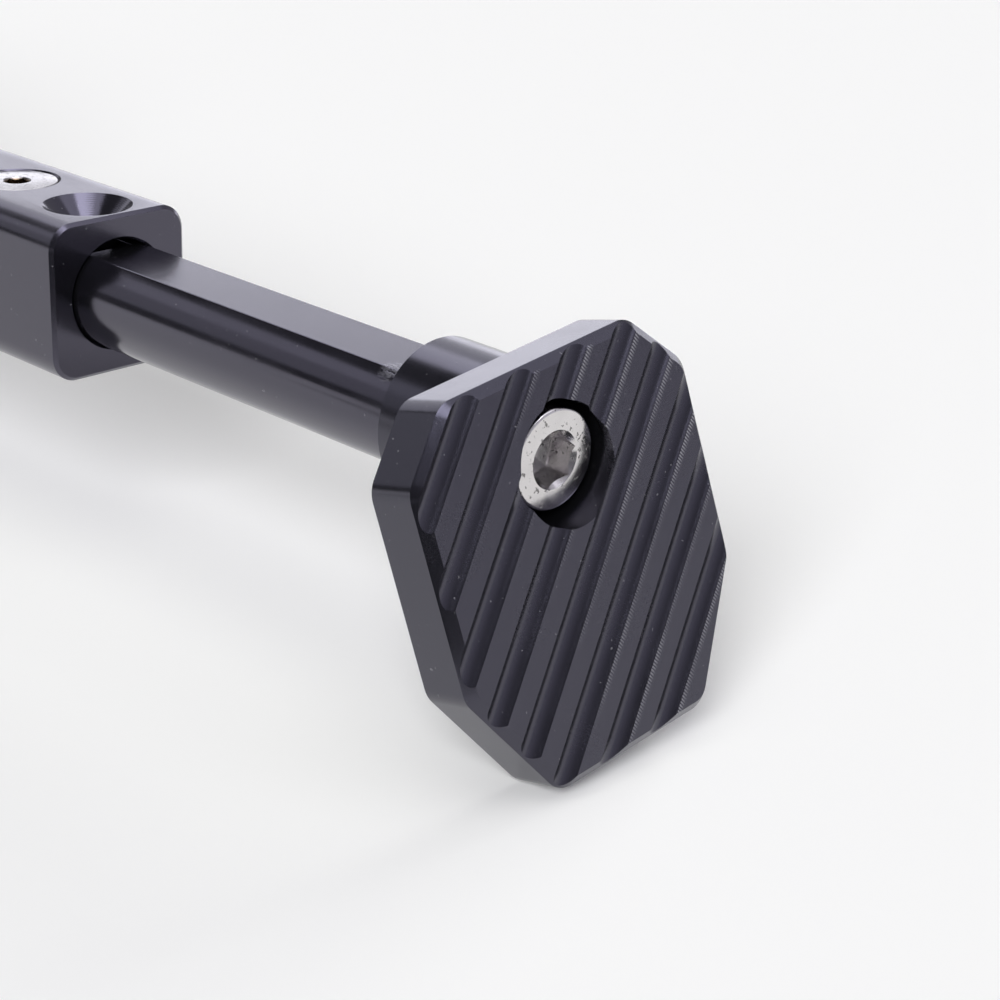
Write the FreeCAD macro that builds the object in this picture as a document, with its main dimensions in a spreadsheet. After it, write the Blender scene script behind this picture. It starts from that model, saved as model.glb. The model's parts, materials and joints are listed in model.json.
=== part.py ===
import FreeCAD, Part
import math
import os

import Sketcher
from FreeCAD import Placement, Rotation, Vector

# Driving sizes, in millimetres and degrees.
# X runs along the leg towards the foot, Z is up, the origin is the centre of the
# mounting face, and the leg is folded up level under the bicycle's frame.
SIZES = {
    # mounting bracket, seen from the pivot's axis
    "pivot_drop": 26.0,
    "bracket_rear": 32.0,
    "bracket_front": 44.0,
    "bracket_web": 12.0,
    "bracket_cheek": 8.0,
    "bracket_nose": 14.0,
    "bracket_waist": 18.0,
    "bracket_foot_width": 18.0,
    "bracket_foot_below": 9.61,
    "bracket_corner": 5.0,
    "bracket_edge": 0.8,
    "mount_spacing": 40.0,
    "mount_hole_radius": 3.3,
    "mount_head_radius": 5.75,
    "mount_head_depth": 6.8,
    # pivot
    "pivot_radius": 5.0,
    "pivot_head_radius": 8.0,
    "pivot_head_height": 5.0,
    "pivot_thread_radius": 4.0,
    "pivot_nut_flats": 13.0,
    "pivot_nut_height": 6.5,
    "pivot_washer_radius": 8.0,
    "pivot_washer_thickness": 1.6,
    "pivot_key_flats": 5.0,
    "pivot_key_depth": 3.0,
    "bush_radius": 6.0,
    "bush_flange_radius": 8.5,
    "bush_flange": 1.0,
    "bush_length": 9.0,
    # stops
    "stop_pin_radius": 4.0,
    "stop_reach": 33.0,
    "fold_angle": 105.0,
    "bumper_radius": 5.5,
    "bumper_taper": 1.0,
    "bumper_stem_radius": 2.5,
    "bumper_stem": 6.0,
    "bumper_offset": 36.0,
    # return spring and its two posts
    "post_radius": 2.5,
    "post_neck_radius": 2.0,
    "post_neck_width": 2.6,
    "post_head_radius": 3.4,
    "post_head": 2.0,
    "post_depth": 7.0,
    "spring_offset": 4.9,
    "post_rear": 26.0,
    "post_rise": 8.0,
    "post_reach": 50.0,
    "wire_radius": 0.9,
    "coil_radius": 3.7,
    "coil_lead": 3.6,
    "coil_turns": 20.0,
    "coil_steps": 12.0,
    "hook_steps": 8.0,
    "wire_sides": 8.0,
    # square upper leg
    "leg_width": 22.0,
    "leg_corner": 3.7,
    "leg_edge": 0.5,
    "leg_length": 190.0,
    "bore_depth": 128.0,
    "bore_mouth": 0.35,
    "hole_first": 7.0,
    "hole_pitch": 17.0,
    "hole_count": 7.0,
    "hole_radius": 3.2,
    "sink_radius": 6.15,
    # round lower leg
    "rod_radius": 7.5,
    "rod_flat": 6.0,
    "rod_out": 63.5,
    "rod_in": 95.0,
    "rod_edge": 0.6,
    "rod_thread_depth": 24.0,
    "slot_neck_width": 6.4,
    "slot_lip": 2.4,
    "slot_width": 10.2,
    "slot_height": 4.4,
    "slot_cover": 1.5,
    # clamp screws, slide nuts and the stop in the end of the slot
    "screw_radius": 3.0,
    "screw_length": 10.0,
    "screw_rim": 0.3,
    "screw_sink": 0.1,
    "screw_flats": 4.0,
    "screw_key_depth": 2.2,
    "nut_length": 10.0,
    "nut_play": 0.3,
    "stop_screw_radius": 2.0,
    "stop_screw_inset": 4.0,
    "stop_screw_depth": 3.0,
    "stop_screw_sink": 0.5,
    "stop_screw_flats": 2.0,
    "stop_screw_key_depth": 1.5,
    # foot
    "foot_half_width": 22.0,
    "foot_top": 12.7,
    "foot_bottom": 35.6,
    "foot_top_half": 14.7,
    "foot_bottom_half": 12.4,
    "foot_shoulder_up": 4.95,
    "foot_shoulder_down": 20.0,
    "foot_thickness": 8.2,
    "foot_corner": 3.5,
    "foot_chamfer": 1.2,
    "foot_rear_edge": 0.3,
    "foot_tilt": 14.3,
    "foot_roll": 8.0,
    "groove_radius": 2.0,
    "groove_depth": 0.95,
    "groove_pitch": 6.27,
    "groove_first": -17.0,
    "groove_count": 8.0,
    "groove_angle": 47.0,
    "boss_radius": 9.75,
    "boss_edge": 0.4,
    "boss_reach": 22.0,
    "socket_depth": 8.0,
    # foot bolt
    "bolt_radius": 4.0,
    "bolt_head_radius": 6.5,
    "bolt_head_height": 8.0,
    "bolt_head_edge": 0.9,
    "bolt_length": 25.0,
    "bolt_flats": 6.0,
    "bolt_key_depth": 4.0,
    "bolt_turn": -15.2,
    "bolt_recess": 2.2,
    "bolt_counterbore": 7.2,
    "bolt_hole_radius": 4.25,
    # clearances
    "running_gap": 0.05,
    "side_gap": 0.1,
    "seat_gap": 0.05,
    "stop_gap": 0.1,
    "recess_gap": 0.25,
    "thread_end": 1.0,
}

# How far a cut runs past the face that it opens.
OVERCUT = 5.0

doc = FreeCAD.newDocument("Kickstand")
sheet = doc.addObject("Spreadsheet::Sheet", "Sizes")


class Size:
    """A size of the sheet, or one worked out from it, with the expression that binds it."""

    def __init__(self, number, text):
        self.number = float(number)
        self.text = text

    def __add__(self, other):
        other = as_size(other)
        return Size(self.number + other.number, f"({self.text} + {other.text})")

    def __sub__(self, other):
        other = as_size(other)
        return Size(self.number - other.number, f"({self.text} - {other.text})")

    def __mul__(self, other):
        other = as_size(other)
        return Size(self.number * other.number, f"({self.text} * {other.text})")

    def __truediv__(self, other):
        other = as_size(other)
        return Size(self.number / other.number, f"({self.text} / {other.text})")

    def __neg__(self):
        return Size(-self.number, f"(0 - {self.text})")

    __radd__ = __add__
    __rmul__ = __mul__

    def __rsub__(self, other):
        return as_size(other) - self


def as_size(item):
    return item if isinstance(item, Size) else Size(item, f"({item})")


def sine(angle):
    return Size(math.sin(math.radians(angle.number)), f"sin({angle.text})")


def cosine(angle):
    return Size(math.cos(math.radians(angle.number)), f"cos({angle.text})")


def fill_sheet():
    """Writes every driving size to the sheet and returns them by name."""
    for row, (name, number) in enumerate(SIZES.items(), start=1):
        sheet.set(f"A{row}", name)
        sheet.set(f"B{row}", str(number))
        sheet.setAlias(f"B{row}", name)
    doc.recompute()
    return {name: Size(number, f"Sizes.{name}") for name, number in SIZES.items()}


S = fill_sheet()

# Places and sizes that follow from the driving ones.
half_leg = S["leg_width"] / 2
channel_half = half_leg + S["bush_flange"] + S["side_gap"]
bracket_half = channel_half + S["bracket_cheek"]
stop_along = S["stop_reach"]
stop_across = half_leg + S["stop_pin_radius"] + S["stop_gap"]
stop_x = stop_along * cosine(S["fold_angle"]) - stop_across * sine(S["fold_angle"])
stop_z = -stop_along * sine(S["fold_angle"]) - stop_across * cosine(S["fold_angle"])
bracket_bottom = stop_z - S["bracket_foot_below"]
head_floor = bracket_half - S["pivot_head_height"] - S["seat_gap"]
spring_y = bracket_half + S["spring_offset"]
rod_top = S["leg_length"] - S["rod_in"]
rod_length = S["rod_in"] + S["rod_out"] + S["socket_depth"] - S["seat_gap"]
boss_rear = S["leg_length"] + S["rod_out"]
foot_face = boss_rear + S["boss_reach"]
seat_depth = S["bolt_recess"] + S["bolt_head_height"]
slot_floor = S["rod_flat"] - S["slot_lip"] - S["slot_height"]
bore_radius = S["rod_radius"] + S["running_gap"]


def bind(item, path, size):
    """Ties one property of an object to the sheet."""
    item.setExpression(path, size.text)


def place(item, x=0, y=0, z=0, axis=Vector(0, 0, 1), angle=0.0):
    """Puts a sub-part in the frame of the whole, its place tied to the sheet."""
    spots = [as_size(value) for value in (x, y, z)]
    item.Placement = Placement(Vector(*[spot.number for spot in spots]), Rotation(axis, angle))
    for letter, spot in zip("xyz", spots):
        bind(item, f"Placement.Base.{letter}", spot)
    return item


def new_body(name):
    body = doc.addObject("PartDesign::Body", name)
    body.Label = name
    return body


def new_sketch(body, name, role, offset=0, shift=0, turn=None):
    """A sketch on one of its body's own planes, moved off it or turned in it."""
    item = body.newObject("Sketcher::SketchObject", name)
    plane = next(feature for feature in body.Origin.OriginFeatures if feature.Role == role)
    item.AttachmentSupport = [(plane, "")]
    item.MapMode = "FlatFace"
    offset = as_size(offset)
    shift = as_size(shift)
    angle = turn.number if turn else 0.0
    item.AttachmentOffset = Placement(
        Vector(shift.number, 0, offset.number), Rotation(Vector(0, 0, 1), angle)
    )
    bind(item, "AttachmentOffset.Base.x", shift)
    bind(item, "AttachmentOffset.Base.z", offset)
    if turn:
        bind(item, "AttachmentOffset.Rotation.Angle", turn)
    return item


def hold(item, edge, point, x, y):
    """Holds a point of a sketch at its two distances from the sketch's origin."""
    for kind, size in (("DistanceX", as_size(x)), ("DistanceY", as_size(y))):
        if abs(size.number) < 1e-9:
            axis = -2 if kind == "DistanceX" else -1
            item.addConstraint(Sketcher.Constraint("PointOnObject", edge, point, axis))
        elif size.number > 0:
            index = item.addConstraint(
                Sketcher.Constraint(kind, -1, 1, edge, point, size.number)
            )
            bind(item, f"Constraints[{index}]", size)
        else:
            index = item.addConstraint(
                Sketcher.Constraint(kind, edge, point, -1, 1, -size.number)
            )
            bind(item, f"Constraints[{index}]", -size)


def polygon(item, points):
    """Closes straight edges through the points, each corner held by its distances."""
    corners = [Vector(as_size(x).number, as_size(y).number, 0) for x, y in points]
    edges = []
    for start, end in zip(corners, corners[1:] + corners[:1]):
        edges.append(item.addGeometry(Part.LineSegment(start, end), False))
    for before, after in zip(edges[-1:] + edges[:-1], edges):
        item.addConstraint(Sketcher.Constraint("Coincident", before, 2, after, 1))
    for edge, (x, y) in zip(edges, points):
        hold(item, edge, 1, x, y)


def circle(item, x, y, radius):
    radius = as_size(radius)
    spot = Vector(as_size(x).number, as_size(y).number, 0)
    edge = item.addGeometry(Part.Circle(spot, Vector(0, 0, 1), radius.number), False)
    hold(item, edge, 3, x, y)
    index = item.addConstraint(Sketcher.Constraint("Radius", edge, radius.number))
    bind(item, f"Constraints[{index}]", radius)


def hexagon(item, flats):
    """A hexagon of the given width across its flats, round the sketch's origin."""
    corner = flats / math.sqrt(3)
    spots = [math.radians(60 * step) for step in range(6)]
    polygon(item, [(corner * round(math.cos(spot), 9), corner * round(math.sin(spot), 9))
                   for spot in spots])


def pad(body, profile, length, both_ways=False):
    feature = body.newObject("PartDesign::Pad", profile.Name + "_pad")
    feature.Profile = profile
    bind(feature, "Length", as_size(length))
    feature.Midplane = both_ways
    return feature


def pocket(body, profile, depth=None, backwards=False):
    """Cuts a profile to a depth, or right through both ways where no depth is given."""
    feature = body.newObject("PartDesign::Pocket", profile.Name + "_cut")
    feature.Profile = profile
    if depth is None:
        feature.Type = 1
        feature.Midplane = True
    else:
        bind(feature, "Length", as_size(depth))
        feature.Reversed = backwards
    return feature


def revolve(body, profile, cut=False):
    """Turns a profile right round its sketch's upright axis, as solid or as a cut."""
    kind = "Groove" if cut else "Revolution"
    feature = body.newObject(f"PartDesign::{kind}", f"{profile.Name}_{kind.lower()}")
    feature.Profile = profile
    feature.ReferenceAxis = (profile, ["V_Axis"])
    feature.Angle = 360.0
    return feature


def edges_where(feature, test):
    """Names the edges of a finished feature that pass a test."""
    doc.recompute()
    edges = enumerate(feature.Shape.Edges, start=1)
    return [f"Edge{number}" for number, edge in edges if test(edge)]


def dress(body, kind, name, base, size, test):
    """Fillets or chamfers the edges of a feature that pass a test."""
    names = edges_where(base, test)
    if not names:
        raise ValueError(f"{name} found no edge")
    feature = body.newObject(f"PartDesign::{kind}", name)
    feature.Base = (base, names)
    bind(feature, "Radius" if kind == "Fillet" else "Size", size)
    return feature


def runs_along(edge, axis):
    """True for a straight edge along an axis of its body."""
    if not isinstance(edge.Curve, Part.Line):
        return False
    return abs(edge.tangentAt(edge.FirstParameter).dot(axis)) > 0.999


def lies_at(edge, axis, distance):
    """True for an edge that lies whole in the plane at a distance along an axis."""
    box = edge.BoundBox
    low = Vector(box.XMin, box.YMin, box.ZMin).dot(axis)
    high = Vector(box.XMax, box.YMax, box.ZMax).dot(axis)
    return abs(low - distance) < 1e-4 and abs(high - distance) < 1e-4


def is_round(edge, radius):
    """True for a circle, or part of one, of the given radius."""
    return isinstance(edge.Curve, Part.Circle) and abs(edge.Curve.Radius - radius.number) < 1e-4


def turned(name, profile):
    """A turned piece: half its outline, as distances from its axis and along it."""
    body = new_body(name)
    outline = new_sketch(body, f"{name}_outline", "XZ_Plane")
    polygon(outline, profile)
    revolve(body, outline)
    return body


def cut_hexagon(body, top, flats, depth, turn=None):
    """Cuts a hexagon socket down from the top of a turned piece, turned where it is given."""
    socket = new_sketch(body, f"{body.Name}_key", "XY_Plane", offset=top, turn=turn)
    hexagon(socket, flats)
    return pocket(body, socket, depth)


ACROSS = {"axis": Vector(1, 0, 0), "angle": -90.0}


def mount_bracket():
    """Channel of one piece: a web under the frame and two cheeks down to the stop pin."""
    body = new_body("mount_bracket")
    top = S["pivot_drop"]
    side = new_sketch(body, "bracket_side", "XZ_Plane")
    rear = -S["bracket_rear"]
    polygon(side, [
        (rear, top),
        (S["bracket_front"], top),
        (S["bracket_front"], top - S["bracket_web"]),
        (S["bracket_waist"], 0),
        (S["bracket_nose"], -S["bracket_nose"]),
        (rear + S["bracket_foot_width"], bracket_bottom),
        (rear, bracket_bottom),
    ])
    block = pad(body, side, bracket_half * 2, both_ways=True)
    across = Vector(0, 1, 0)
    rounded = dress(body, "Fillet", "bracket_corners", block, S["bracket_corner"],
                    lambda edge: runs_along(edge, across)
                    and edge.CenterOfMass.z < top.number - S["bracket_web"].number + 1)
    outer = bracket_half.number
    dress(body, "Chamfer", "bracket_edges", rounded, S["bracket_edge"],
          lambda edge: lies_at(edge, across, outer) or lies_at(edge, across, -outer))
    channel = new_sketch(body, "bracket_channel", "YZ_Plane")
    low = bracket_bottom - OVERCUT
    high = top - S["bracket_web"]
    polygon(channel, [(-channel_half, low), (channel_half, low),
                      (channel_half, high), (-channel_half, high)])
    pocket(body, channel)
    pivot_far = new_sketch(body, "pivot_seat", "XZ_Plane")
    circle(pivot_far, 0, 0, S["pivot_radius"] + S["running_gap"])
    pocket(body, pivot_far, bracket_half + OVERCUT)
    pivot_near = new_sketch(body, "pivot_thread_hole", "XZ_Plane")
    circle(pivot_near, 0, 0, S["pivot_thread_radius"] + S["running_gap"])
    pocket(body, pivot_near, bracket_half + OVERCUT, backwards=True)
    head = new_sketch(body, "pivot_head_recess", "XZ_Plane", offset=-bracket_half)
    circle(head, 0, 0, S["pivot_head_radius"] + S["recess_gap"])
    pocket(body, head, S["pivot_head_height"] + S["seat_gap"], backwards=True)
    pin = new_sketch(body, "stop_pin_hole", "XZ_Plane")
    circle(pin, stop_x, stop_z, S["stop_pin_radius"])
    pocket(body, pin)
    post = new_sketch(body, "spring_post_hole", "XZ_Plane", offset=-bracket_half)
    circle(post, -S["post_rear"], S["post_rise"], S["post_radius"])
    pocket(body, post, S["post_depth"], backwards=True)
    bolts = new_sketch(body, "mount_holes", "XY_Plane")
    for way in (-1, 1):
        circle(bolts, S["mount_spacing"] / 2 * way, 0, S["mount_hole_radius"])
    pocket(body, bolts)
    heads = new_sketch(body, "mount_head_recesses", "XY_Plane", offset=high)
    for way in (-1, 1):
        circle(heads, S["mount_spacing"] / 2 * way, 0, S["mount_head_radius"])
    pocket(body, heads, S["mount_head_depth"], backwards=True)
    stem = new_sketch(body, "bumper_hole", "XY_Plane", offset=high)
    circle(stem, S["bumper_offset"], 0, S["bumper_stem_radius"])
    pocket(body, stem, S["bumper_stem"], backwards=True)
    return place(body, z=-S["pivot_drop"])


def pivot_pieces():
    """Shoulder bolt, washer, nut and the two flanged bushes of the leg's pivot."""
    shoulder = head_floor + channel_half
    thread = (S["bracket_cheek"] + S["pivot_washer_thickness"] + S["pivot_nut_height"]
              + S["thread_end"])
    bolt = turned("pivot_bolt", [
        (0, -shoulder - thread),
        (S["pivot_thread_radius"], -shoulder - thread),
        (S["pivot_thread_radius"], -shoulder),
        (S["pivot_radius"], -shoulder),
        (S["pivot_radius"], 0),
        (S["pivot_head_radius"], 0),
        (S["pivot_head_radius"], S["pivot_head_height"]),
        (0, S["pivot_head_height"]),
    ])
    cut_hexagon(bolt, S["pivot_head_height"], S["pivot_key_flats"], S["pivot_key_depth"])
    place(bolt, y=head_floor, z=-S["pivot_drop"], **ACROSS)

    washer = turned("pivot_washer", [
        (S["pivot_thread_radius"] + S["running_gap"], 0),
        (S["pivot_washer_radius"], 0),
        (S["pivot_washer_radius"], S["pivot_washer_thickness"]),
        (S["pivot_thread_radius"] + S["running_gap"], S["pivot_washer_thickness"]),
    ])
    washer_y = -bracket_half - S["pivot_washer_thickness"]
    place(washer, y=washer_y, z=-S["pivot_drop"], **ACROSS)

    nut = new_body("pivot_nut")
    flats = new_sketch(nut, "pivot_nut_flats", "XY_Plane")
    hexagon(flats, S["pivot_nut_flats"])
    circle(flats, 0, 0, S["pivot_thread_radius"])
    pad(nut, flats, S["pivot_nut_height"])
    place(nut, y=washer_y - S["pivot_nut_height"], z=-S["pivot_drop"], **ACROSS)

    for name, way in (("pivot_bush_left", -1), ("pivot_bush_right", 1)):
        bore = S["pivot_radius"] + S["running_gap"]
        bush = turned(name, [
            (bore, 0),
            (S["bush_radius"], 0),
            (S["bush_radius"], S["bush_length"]),
            (S["bush_flange_radius"], S["bush_length"]),
            (S["bush_flange_radius"], S["bush_length"] + S["bush_flange"]),
            (bore, S["bush_length"] + S["bush_flange"]),
        ])
        place(bush, y=(half_leg - S["bush_length"]) * way, z=-S["pivot_drop"],
              axis=Vector(1, 0, 0), angle=-90.0 * way)


def stop_pin():
    """Dowel across the cheeks that the leg rests on when it is down."""
    body = turned("stop_pin", [
        (0, -bracket_half), (S["stop_pin_radius"], -bracket_half),
        (S["stop_pin_radius"], bracket_half), (0, bracket_half),
    ])
    return place(body, x=stop_x, z=stop_z - S["pivot_drop"], **ACROSS)


def bumper():
    """Rubber button under the web that the folded leg rests against."""
    high = S["pivot_drop"] - S["bracket_web"]
    body = turned("bumper", [
        (0, half_leg + S["stop_gap"]),
        (S["bumper_radius"] - S["bumper_taper"], half_leg + S["stop_gap"]),
        (S["bumper_radius"], high),
        (S["bumper_stem_radius"], high),
        (S["bumper_stem_radius"], high + S["bumper_stem"]),
        (0, high + S["bumper_stem"]),
    ])
    return place(body, x=S["bumper_offset"], z=-S["pivot_drop"])


def spring_post(name, x, z, face):
    """Shouldered post with a neck for the spring's hook, screwed in at a face."""
    neck_low = spring_y - face - S["post_neck_width"] / 2
    neck_high = neck_low + S["post_neck_width"]
    body = turned(name, [
        (0, -S["post_depth"]), (S["post_radius"], -S["post_depth"]),
        (S["post_radius"], neck_low), (S["post_neck_radius"], neck_low),
        (S["post_neck_radius"], neck_high), (S["post_head_radius"], neck_high),
        (S["post_head_radius"], neck_high + S["post_head"]), (0, neck_high + S["post_head"]),
    ])
    return place(body, x=x, y=face, z=z - S["pivot_drop"], **ACROSS)


def swept_wire(spots, radius):
    """Closed solid of wire in straight runs through the spots, eight-sided in section."""
    upright = Vector(0, 1, 0)
    sides = int(SIZES["wire_sides"])
    turns = [2 * math.pi * step / sides for step in range(sides + 1)]
    rings = []
    for before, spot, after in zip(spots[:1] + spots[:-1], spots, spots[1:] + spots[-1:]):
        heading = (after - before).normalize()
        upright = (upright - heading * upright.dot(heading)).normalize()
        sideways = heading.cross(upright)
        rings.append(Part.makePolygon([
            spot + (upright * math.cos(turn) + sideways * math.sin(turn)) * radius
            for turn in turns]))
    return Part.makeLoft(rings, True, True)


def return_spring():
    """Extension spring between the posts: one wire, coiled, with a hook at each end."""
    rear_x = -SIZES["post_rear"]
    rise = SIZES["post_rise"]
    span = math.hypot(SIZES["post_reach"] - rear_x, rise)
    wire = SIZES["wire_radius"]
    mean = SIZES["coil_radius"]
    centre = mean - SIZES["post_neck_radius"] - wire - SIZES["seat_gap"]
    start = centre + SIZES["coil_lead"]
    coiled = span - 2 * start
    bends = int(SIZES["hook_steps"])
    steps = int(SIZES["coil_turns"] * SIZES["coil_steps"])

    def hook(at, way):
        """From the tail of a hook, round its post, to the end of its lead."""
        tail = Vector(at + way * (centre + mean / 2), 0, -mean)
        angles = [math.pi * step / bends for step in range(bends + 1)]
        ring = [Vector(at + way * (centre - mean * math.sin(angle)), 0, -mean * math.cos(angle))
                for angle in angles]
        return [tail] + ring + [Vector(at + way * (start - wire), 0, mean)]

    coil = []
    for step in range(steps):
        share = (step + 0.5) / steps
        angle = 2 * math.pi * SIZES["coil_turns"] * share
        coil.append(Vector(start + coiled * share, mean * math.sin(angle), mean * math.cos(angle)))
    body = doc.addObject("Part::Feature", "return_spring")
    body.Label = "return_spring"
    body.Shape = swept_wire(hook(0, 1) + coil + hook(span, -1)[::-1], wire)
    slope = math.degrees(math.atan2(rise, SIZES["post_reach"] - rear_x))
    place(body, x=-S["post_rear"], y=spring_y, z=S["post_rise"] - S["pivot_drop"],
          axis=Vector(0, 1, 0), angle=slope)
    return body


def leg_upper():
    """Square bar with a rounded eye, a blind bore and a row of countersunk holes."""
    body = new_body("leg_upper")
    end = S["leg_length"]
    bar = new_sketch(body, "leg_bar", "YZ_Plane")
    polygon(bar, [(-half_leg, -half_leg), (half_leg, -half_leg),
                  (half_leg, half_leg), (-half_leg, half_leg)])
    length = pad(body, bar, end)
    eye = new_sketch(body, "leg_eye", "XZ_Plane")
    circle(eye, 0, 0, half_leg)
    eye_pad = pad(body, eye, half_leg * 2, both_ways=True)
    along = Vector(1, 0, 0)
    across = Vector(0, 1, 0)
    rounded = dress(body, "Fillet", "leg_corners", eye_pad, S["leg_corner"],
                    lambda edge: runs_along(edge, along)
                    or (isinstance(edge.Curve, Part.Circle) and edge.CenterOfMass.x < 0
                        and (lies_at(edge, across, half_leg.number)
                             or lies_at(edge, across, -half_leg.number))))
    bore = new_sketch(body, "leg_bore", "YZ_Plane", offset=end)
    circle(bore, 0, 0, bore_radius)
    bored = pocket(body, bore, S["bore_depth"])
    outer_edge = dress(body, "Chamfer", "leg_end_edge", bored, S["leg_edge"],
                       lambda edge: lies_at(edge, along, end.number)
                       and not is_round(edge, bore_radius))
    dress(body, "Chamfer", "leg_bore_mouth", outer_edge, S["bore_mouth"],
          lambda edge: lies_at(edge, along, end.number) and is_round(edge, bore_radius))
    pivot = new_sketch(body, "leg_pivot_bore", "XZ_Plane")
    circle(pivot, 0, 0, S["bush_radius"])
    pocket(body, pivot)
    post = new_sketch(body, "leg_post_hole", "XZ_Plane", offset=-half_leg)
    circle(post, S["post_reach"], 0, S["post_radius"])
    pocket(body, post, S["post_depth"], backwards=True)

    sink = new_sketch(body, "leg_sink", "XZ_Plane", shift=end - S["hole_first"])
    drop = S["sink_radius"] - S["hole_radius"]
    polygon(sink, [(0, half_leg + OVERCUT), (S["sink_radius"], half_leg + OVERCUT),
                   (S["sink_radius"], half_leg), (S["hole_radius"], half_leg - drop),
                   (S["hole_radius"], 0), (0, 0)])
    first = revolve(body, sink, cut=True)
    row = body.newObject("PartDesign::LinearPattern", "leg_hole_row")
    row.Originals = [first]
    row.Direction = (sink, ["H_Axis"])
    row.Reversed = True
    bind(row, "Length", S["hole_pitch"] * (S["hole_count"] - 1))
    bind(row, "Occurrences", S["hole_count"])
    body.Tip = row
    return place(body, z=-S["pivot_drop"])


def leg_rod():
    """Round bar with one milled flat, a slot of T section above and a thread below."""
    body = new_body("leg_rod")
    section = new_sketch(body, "rod_section", "YZ_Plane")
    circle(section, 0, 0, S["rod_radius"])
    bar = pad(body, section, rod_length)
    along = Vector(1, 0, 0)
    dress(body, "Chamfer", "rod_edges", bar, S["rod_edge"],
          lambda edge: isinstance(edge.Curve, Part.Circle))
    flat = new_sketch(body, "rod_flat_cut", "YZ_Plane")
    wide = S["rod_radius"] + OVERCUT
    polygon(flat, [(-wide, S["rod_flat"]), (wide, S["rod_flat"]), (wide, wide), (-wide, wide)])
    pocket(body, flat, rod_length, backwards=True)
    slot = new_sketch(body, "rod_slot", "YZ_Plane")
    neck = S["slot_neck_width"] / 2
    room = S["slot_width"] / 2
    lip = S["rod_flat"] - S["slot_lip"]
    polygon(slot, [(-neck, wide), (-neck, lip), (-room, lip), (-room, slot_floor),
                   (room, slot_floor), (room, lip), (neck, lip), (neck, wide)])
    pocket(body, slot, S["rod_in"] - S["slot_cover"], backwards=True)
    stop = new_sketch(body, "rod_stop_hole", "XY_Plane", offset=S["rod_flat"])
    circle(stop, S["stop_screw_inset"], 0, S["stop_screw_radius"])
    pocket(body, stop, S["rod_flat"] - slot_floor + S["stop_screw_depth"])
    thread = new_sketch(body, "rod_thread_hole", "YZ_Plane", offset=rod_length)
    circle(thread, 0, 0, S["bolt_radius"])
    pocket(body, thread, S["rod_thread_depth"])
    return place(body, x=rod_top, z=-S["pivot_drop"])


def clamp_pieces():
    """Two countersunk screws, each with its nut in the rod's slot, and the slot's stop."""
    head_radius = S["sink_radius"] - S["screw_sink"] - S["screw_rim"] - S["seat_gap"]
    cone = head_radius - S["screw_radius"]
    top = half_leg - S["screw_sink"]
    lip = S["rod_flat"] - S["slot_lip"]
    nut_height = S["slot_height"] - S["nut_play"] - S["seat_gap"]
    nut_half = S["slot_width"] / 2 - S["nut_play"]
    for label, hole in (("lower", 1), ("upper", 3)):
        x = S["leg_length"] - S["hole_first"] - S["hole_pitch"] * hole
        screw = turned(f"clamp_screw_{label}", [
            (0, -S["screw_length"]), (S["screw_radius"], -S["screw_length"]),
            (S["screw_radius"], -cone - S["screw_rim"]),
            (head_radius, -S["screw_rim"]), (head_radius, 0), (0, 0),
        ])
        cut_hexagon(screw, 0, S["screw_flats"], S["screw_key_depth"])
        place(screw, x=x, z=top - S["pivot_drop"])
        nut = new_body(f"slide_nut_{label}")
        plan = new_sketch(nut, f"slide_nut_{label}_plan", "XY_Plane")
        half = S["nut_length"] / 2
        polygon(plan, [(-half, -nut_half), (half, -nut_half), (half, nut_half), (-half, nut_half)])
        circle(plan, 0, 0, S["screw_radius"])
        pad(nut, plan, nut_height)
        place(nut, x=x, z=lip - S["seat_gap"] - nut_height - S["pivot_drop"])
    bottom = slot_floor - S["stop_screw_depth"]
    crown = S["rod_flat"] - S["stop_screw_sink"]
    stop = turned("slot_stop_screw", [
        (0, bottom), (S["stop_screw_radius"], bottom), (S["stop_screw_radius"], crown), (0, crown),
    ])
    cut_hexagon(stop, crown, S["stop_screw_flats"], S["stop_screw_key_depth"])
    place(stop, x=rod_top + S["stop_screw_inset"], z=-S["pivot_drop"])


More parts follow.
